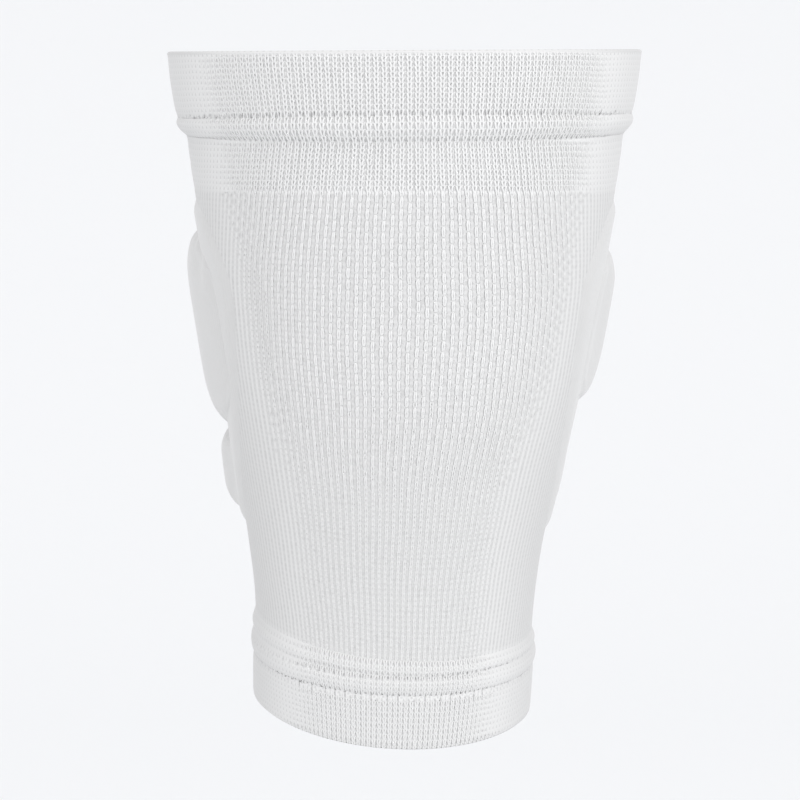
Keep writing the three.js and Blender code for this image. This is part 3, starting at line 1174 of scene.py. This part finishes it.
# %% Knit the body
BODY_PIECES = (  # name, kind of place, loop and seed
    ("side_loops", "side", rib_loop, 61),
    ("rib_loops", "rib", rib_loop, 71),
    ("long_rib_loops", "long", long_loop, 81),
)
for name, kind, loop, seed in BODY_PIECES:
    knitted_piece(name, [("body", body[kind], loop, seed)])

# %% [markdown]
# ## The ground behind the loops
#
# Behind the legs lies the rest of the knit: the heads and feet of the loops, a shade deeper. It is made as a
# closed wall that follows the face line a little below it and runs round to the smooth inside. A chart of
# wales and courses on it keeps the shade of its finish in step with the loops. Each wall stands for its
# solid, and is a sheet of cloth that the leg holds stretched.

# %% Section of a ground wall
GROUND_DEPTH = 0.38  # mm below the line of the face
RIM_SHARE = 0.75  # how much of that depth is lost at the rim, where the cloth is smooth
GROUND_STEP = 1.5  # mm between rows of points, which a wall's fineness divides
CUFF_INSIDE_POINTS = 12


def ground_reach(zones, fineness):
    """Places along the face line from the first zone to the end of the last, and their courses."""
    starts = [zone_reach(zone)[0] for zone in zones]
    last, pitch = zone_reach(zones[-1])
    ends = [*starts[1:], last + pitch * ZONES[zones[-1]][2]]
    counts = np.cumsum([0] + [ZONES[zone][2] for zone in zones])
    rows = round((ends[-1] - starts[0]) / GROUND_STEP * fineness) + 1
    reach = np.linspace(starts[0], ends[-1], rows)
    return reach, np.interp(reach, [starts[0], *ends], counts)


def cuff_section(outer):
    """Closes a cuff's section: the face line already turns round the rim, and the inside runs to the seam."""
    is_top = outer[-1][0] < outer[0][0]
    seam_end, lip_end = (outer[0], outer[-1]) if is_top else (outer[-1], outer[0])
    inner_levels = np.linspace(lip_end[1], seam_end[1], CUFF_INSIDE_POINTS)[1:]
    inner = np.stack([np.full_like(inner_levels, lip_end[0]), inner_levels], axis=1)
    parts = [outer, inner] if is_top else [inner[::-1], outer]
    marks = [np.full(len(part), part is outer) for part in parts]
    return np.concatenate(parts), np.concatenate(marks)


def tube_section(outer, level, wall):
    """Closes the section of a wall between two seams along its inside."""
    inner_levels = np.linspace(level[-1], level[0], max(4, len(level) // 3))
    inner = np.stack([np.full_like(inner_levels, -wall), inner_levels], axis=1)
    is_outer = np.arange(len(outer) + len(inner)) < len(outer)
    return np.concatenate([outer, inner]), is_outer


def wall_section(zones, wall, reach):
    """Offsets and levels round a wall's section, and which of its points are outside."""
    offset, level, out_offset, out_level = on_line(reach)
    depth = GROUND_DEPTH * (1 - RIM_SHARE * at_rim(level))
    outer = np.stack([offset - depth * out_offset, level - depth * out_level], axis=1)
    has_rim = ZONES[zones[0]][0] is None or ZONES[zones[-1]][1] is None
    return cuff_section(outer) if has_rim else tube_section(outer, level, wall)


print("rows of the sleeve's ground:", len(ground_reach(["body", "lower_band", "upper_band"], 1)[0]))

# %% Ground walls
TUCKED = 1.0  # mm of cloth turned into the seam at each end of a wall
SHARPEST = math.radians(50)  # steeper edges, at the seams, stay sharp


def ring_faces(rows, columns):
    """Faces of a closed ring wall, whose section has this many points."""
    row, column = np.meshgrid(np.arange(rows), np.arange(columns), indexing="ij")
    next_row, next_column = (row + 1) % rows, (column + 1) % columns
    corners = [row * columns + column, row * columns + next_column]
    corners += [next_row * columns + next_column, next_row * columns + column]
    return np.stack(corners, axis=-1).reshape(-1, 4)


def flat_size(section_line, level):
    """The girth of a wall and half the way round its section, with what is turned in, in metres."""
    girth = 2 * math.pi * float(leg_radius(level).mean())
    way_round = np.hypot(*(section_line - np.roll(section_line, 1, axis=0)).T).sum()
    return girth * MM, (way_round / 2 + 2 * TUCKED) * MM


def ground_wall(name, node, zones, wall, slot, fineness):
    """A closed wall behind the loops of some zones."""
    reach, course = ground_reach(zones, fineness)
    section_line, is_outer = wall_section(zones, wall, reach)
    rows, columns = len(section_line), WALES * fineness
    courses = np.zeros(rows)
    courses[is_outer] = course
    wale = np.broadcast_to(((np.arange(columns) + 0.5) / columns - 0.5) * WALES, (rows, columns))
    offsets, levels = (np.repeat(section_line[:, [side]], columns, axis=1) for side in (0, 1))
    angle = wale_angle(wale, levels)
    needle = needle_place(sewn_row(zones[0])[0], angle, levels)
    rib, spread_and_painted_light = in_rib(levels), openness_and_painted_light(angle, levels)
    outside = is_outer[:, None]
    offsets = offsets + np.where(outside, GROUND_DEPTH * (1 - spread_and_painted_light), 0)
    dented = needled(angle, levels)
    angle, levels = np.where(outside, dented[0], angle), np.where(outside, dented[1], levels)
    points = on_leg(angle, levels, offsets - np.where(outside, dented[2], 0)).reshape(-1, 3)
    piece = new_piece(name, points, ring_faces(rows, columns), ground)
    piece.data.set_sharp_from_angle(angle=SHARPEST)
    knit_chart(piece.data, wale, np.repeat(courses[:, None], columns, axis=1))
    mark_knit(piece.data, zones[0], needle, spread_and_painted_light)
    point_attribute(piece.data, "rib", rib.ravel())
    hand_over(piece, [node])
    flat = flat_size(section_line, on_line(reach)[1])
    print("  flat size, m:", [round(side, 4) for side in flat])


def knit_chart(mesh, wale, course):
    """The chart knit, wales round the wall and courses up it, in step with the loops in front of it."""
    across, up = sway(wale, course)
    corners = corner_points(mesh)
    chart = np.stack([(wale - across).ravel()[corners], (course - up).ravel()[corners]], axis=1)
    quads = chart[:, 0].reshape(-1, 4)
    first = quads.max(axis=1, keepdims=True) - WALES
    chart[:, 0] = np.where(quads < first + WALES / 2, quads + WALES, quads).ravel()
    corner_chart(mesh, "knit", chart)


GROUNDS = (  # name, solid, zones, thickness of the wall, slot and fineness
    ("top_cuff_ground", "top_cuff", ["top_cuff"], CUFF_WALL, "cuff_knit", 2),
    ("top_roll_ground", "top_roll", ["top_roll"], CUFF_WALL, "hem_knit", 2),
    ("sleeve_ground", "sleeve", ["body", "lower_band", "upper_band"], KNIT_WALL, "sleeve_knit", 1),
    ("bottom_roll_ground", "bottom_roll", ["bottom_roll"], CUFF_WALL, "hem_knit", 3),
    ("bottom_cuff_ground", "bottom_cuff", ["bottom_cuff"], CUFF_WALL, "cuff_knit", 1),
)
for row in GROUNDS:
    ground_wall(*row)

# %% [markdown]
# ## The padded panel
#
# The front is a smooth panel of fine knit, stitched down to the sleeve all round. It is one thin closed
# sheet whose edge is rounded, as a turned-under edge is. It lies on the sleeve and carries the foam lobes.

# %% A body with two sides
CLOSING_UP = 0.3  # how much the columns of a sheet close up towards its ends
MEAN_RADIUS = 65  # mm, with which the chart cloth counts millimetres round the leg


def sheet_grid(columns, rows):
    """A grid from -1 to 1 across and up, whose columns close up towards the ends."""
    x, y = np.meshgrid(np.linspace(-1, 1, columns + 1), np.linspace(-1, 1, rows + 1))
    return x + (np.sin(x * math.pi / 2) - x) * CLOSING_UP, y


def two_sided(front, back):
    """Points and faces of a closed body from two grids of points that share their outline's order."""
    rows, columns, _ = front.shape
    index = np.arange(rows * columns).reshape(rows, columns)
    corners = [index[:-1, :-1], index[:-1, 1:], index[1:, 1:], index[1:, :-1]]
    quads = np.stack(corners, axis=-1).reshape(-1, 4)
    rim = np.concatenate([index[0, :-1], index[:-1, -1], index[-1, :0:-1], index[:0:-1, 0]])
    ahead = np.roll(rim, -1)
    behind = rows * columns
    sides = np.stack([ahead, rim, rim + behind, ahead + behind], axis=-1)
    faces = np.concatenate([quads, quads[:, ::-1] + behind, sides])
    return np.concatenate([front.reshape(-1, 3), back.reshape(-1, 3)]), faces


def cloth_chart(piece, angle, level):
    """The chart cloth, in millimetres round the leg and up it, for a two-sided body."""
    both = np.concatenate([np.stack([angle.ravel() * MEAN_RADIUS, level.ravel()], axis=1)] * 2)
    corner_chart(piece.data, "cloth", both[corner_points(piece.data)])


print("faces of a small body with two sides:", len(two_sided(*np.zeros((2, 3, 3, 3)))[1]))

# %% Panel
PANEL_COLUMNS, PANEL_ROWS = 180, 72
PANEL_EDGE_ROUND = 7  # mm over which the edge rises out of the knit
PANEL_SUNK = -0.75  # mm, where the edge lies, under the loops
EDGE = 0.3  # mm, the thickness of a stitched edge


def panel_line(name, angle):
    """The head or the foot of the panel at an angle, as a share of its length from its top."""
    return curve_through(PANEL_OUTLINE, "round", name, np.clip(np.abs(angle) / PANEL_WRAP, 0, 1))


def panel_rise(angle, level):
    """0 where the panel's edge is under the knit, and 1 where it lies on it."""
    down = (PANEL_TOP - level) / PANEL_LENGTH
    from_head, from_foot = down - panel_line("head", angle), panel_line("foot", angle) - down
    from_ends = np.minimum(from_head, from_foot) * PANEL_LENGTH
    from_sides = (shown_reach(angle, level) - np.abs(angle)) * leg_radius(level)
    return smooth_share(np.minimum(from_ends, from_sides), 0, PANEL_EDGE_ROUND)


def panel_top_face(angle, level):
    """How far out the face of the panel is."""
    return PANEL_SUNK + (SEAM_GAP + PANEL_WALL - PANEL_SUNK) * panel_rise(angle, level)


def panel_points():
    """Angles and levels of the panel's points, and the points of its face and of its back."""
    across, up = sheet_grid(PANEL_COLUMNS, PANEL_ROWS)
    angle = PANEL_WRAP * across
    head, foot = panel_line("head", angle), panel_line("foot", angle)
    level = PANEL_TOP - PANEL_LENGTH * (foot + (head - foot) * (up + 1) / 2)
    back = PANEL_SUNK - EDGE + (SEAM_GAP - PANEL_SUNK + EDGE) * panel_rise(angle, level)
    return angle, level, on_leg(angle, level, panel_top_face(angle, level)), on_leg(angle, level, back)


panel_angle, panel_level, panel_face, panel_back = panel_points()
panel = new_piece("panel_cover", *two_sided(panel_face, panel_back), cover)
cloth_chart(panel, panel_angle, panel_level)
hand_over(panel, ["pad_panel"])

# %% [markdown]
# ## The foam lobes
#
# Three foam lobes cross the knee: a low one above it, the main one over it and one below. Each is a low
# cushion, thin where it is stitched down and full in its middle. The plain form comes from the same rule as
# its solid. Then cloth pressure swells its cover a little against the stitched edge, which gives the soft
# crown and the gathers that a formula alone lacks.

# %% Lobe forms
GROOVE_SLANT = 3.5  # mm
GROOVE_SAG = (0.6, 1.6)  # radians from the front, between which a groove sags
BLUNT_SHARE, CORNER_CUT = 0.15, 0.45
SQUARENESS, CROWN = 8, 5  # powers: the higher they are, the fuller a lobe is near its edge
END_SHARE = 0.17  # share of half its length over which it thins out at its ends
PUCKER_DEPTH, PUCKER_SPACE = 0.3, 5.5  # mm, of the gathers at its stitched edge
PUCKER_START, PUCKER_RUN = 0.8, 3.5  # mm from the edge, where they are full and how fast they fade
PAD_SEAT = SEAM_GAP + PANEL_WALL + SEAM_GAP
PAD_SUNK = 0.3  # mm, how far a lobe's stitched edge lies under the panel's face
LOBE_ROLL, END_ROLL = 2.5, 9  # mm over which its edge rises, along its length and at its ends
GROOVES = table(  # its share down the panel, its slant, and its sag at each side in mm
    "down slant left right",
    (0.01, 0.0, 0.0, 4.5),
    (0.124, 1.0, 0.0, -2.3),
    (0.636, -0.4, 4.5, 0.0),
    (0.928, 0.0, 0.0, 0.0),
)
PADS = {  # depth in mm, reach, turn in degrees, columns and rows
    "upper_pad": (7.5, 0.64, -13, 72, 12),
    "knee_pad": (12, 0.865, 4, 92, 30),
    "lower_pad": (9, 0.78, 6, 84, 18),
}


def groove_level(groove, angle):
    down, slant, left, right = (GROOVES[name][groove] for name in ("down", "slant", "left", "right"))
    level = PANEL_TOP - PANEL_LENGTH * down + GROOVE_SLANT * slant * np.sin(angle)
    return level - left * smooth_share(angle, *GROOVE_SAG) - right * smooth_share(-angle, *GROOVE_SAG)


def edge_pucker(away, along):
    """Small gathers that run out from a sewn edge."""
    waves = np.sin(2 * math.pi * along / PUCKER_SPACE + 0.8 * np.sin(along / PUCKER_SPACE * 1.3))
    return PUCKER_DEPTH * waves * np.exp(-away / PUCKER_RUN) * np.clip(away / PUCKER_START, 0, 1)


def lobe_points(name, step):
    """Angles and levels of a lobe's points, and the points of its face and of its back."""
    depth, reach, turn, columns, rows = PADS[name]
    across, up = sheet_grid(columns, rows)
    up = np.sin(up * math.pi / 2)
    angle = math.radians(turn) + PANEL_WRAP * reach * across
    head, foot = groove_level(step, angle), groove_level(step + 1, angle)
    half_height = (head - foot) / 2 * (1 - CORNER_CUT * across**SQUARENESS)
    level = (head + foot) / 2 + up * half_height
    arch, cushion = 1 - across**2, 1 - across**SQUARENESS
    fullness = (arch + (cushion - arch) * BLUNT_SHARE) * (1 - np.abs(up) ** CROWN)
    fullness = fullness * smooth_share(1 - np.abs(across), 0, END_SHARE)
    from_ends = (1 - np.abs(across)) * PANEL_WRAP * reach * MEAN_RADIUS
    from_sides = half_height * (1 - np.abs(up))
    pucker = edge_pucker(np.minimum(from_sides, from_ends), angle * MEAN_RADIUS + level)
    roll = np.clip(np.minimum(from_sides / LOBE_ROLL, from_ends / END_ROLL), 0, 1)
    roll = np.sin(roll * math.pi / 2)
    edge = panel_top_face(angle, level) - PAD_SUNK
    face = edge + (PAD_SEAT + EDGE - edge) * roll + (depth - EDGE) * fullness + pucker
    return angle, level, on_leg(angle, level, face), on_leg(angle, level, edge - EDGE)


FRONT = np.array(0.0)
print("grooves at the front, mm:", [round(float(groove_level(step, FRONT)), 1) for step in range(4)])

# %% Swell the lobes
SWELL_FRAMES = 20
MOST_SWELL = 1.4  # mm, the cap on how far a point may move
CLOTH = {
    "use_pressure": True,
    "uniform_pressure_force": 4.0,
    "vertex_group_mass": "held",
    "tension_stiffness": 25,
    "compression_stiffness": 25,
    "bending_stiffness": 2,
    "shrink_min": -0.02,
}


def swollen(piece, held):
    """Cloth pressure on the piece, with its back and its stitched edge held."""
    rest = mesh_points(piece.data)
    group = piece.vertex_groups.new(name="held")
    group.add(held.tolist(), 1.0, "REPLACE")
    cloth = piece.modifiers.new("swell", "CLOTH")
    for name, value in CLOTH.items():
        setattr(cloth.settings, name, value)
    cloth.settings.effector_weights.gravity = 0
    cloth.collision_settings.use_collision = False
    cloth.point_cache.frame_start = 1
    cloth.point_cache.frame_end = SWELL_FRAMES
    for frame_number in range(1, SWELL_FRAMES + 1):
        bpy.context.scene.frame_set(frame_number)
    evaluated = piece.evaluated_get(bpy.context.evaluated_depsgraph_get())
    points = mesh_points(evaluated.to_mesh())
    evaluated.to_mesh_clear()
    piece.modifiers.remove(cloth)
    piece.vertex_groups.clear()
    bpy.context.scene.frame_set(1)
    move = points - rest
    length = np.linalg.norm(move, axis=1, keepdims=True)
    limit = MOST_SWELL * MM
    move = move * limit * np.tanh(length / limit) / np.maximum(length, 1e-9)
    piece.data.vertices.foreach_set("co", (rest + move).astype(np.float32).ravel())
    piece.data.update()
    print("  swell, mm:", round(float(np.linalg.norm(move, axis=1).max()) / MM, 2))


def finely_divided(piece):
    """One step of subdivision, applied."""
    step = piece.modifiers.new("divide", "SUBSURF")
    step.levels = step.render_levels = 1
    mesh = evaluated_mesh(piece)
    piece.modifiers.remove(step)
    piece.data = mesh


def make_lobe(name, step):
    angle, level, face, back = lobe_points(name, step)
    piece = new_piece(name + "_cushion", *two_sided(face, back), cover)
    cloth_chart(piece, angle, level)
    rows, columns, _ = face.shape
    index = np.arange(rows * columns).reshape(rows, columns)
    rim = np.concatenate([index[0], index[-1], index[:, 0], index[:, -1]])
    held = np.concatenate([rim, np.arange(rows * columns, 2 * rows * columns)])
    swollen(piece, np.unique(held))
    finely_divided(piece)
    hand_over(piece, [name])


for step, name in enumerate(PADS):
    make_lobe(name, step)

# %% [markdown]
# ## Hand over
#
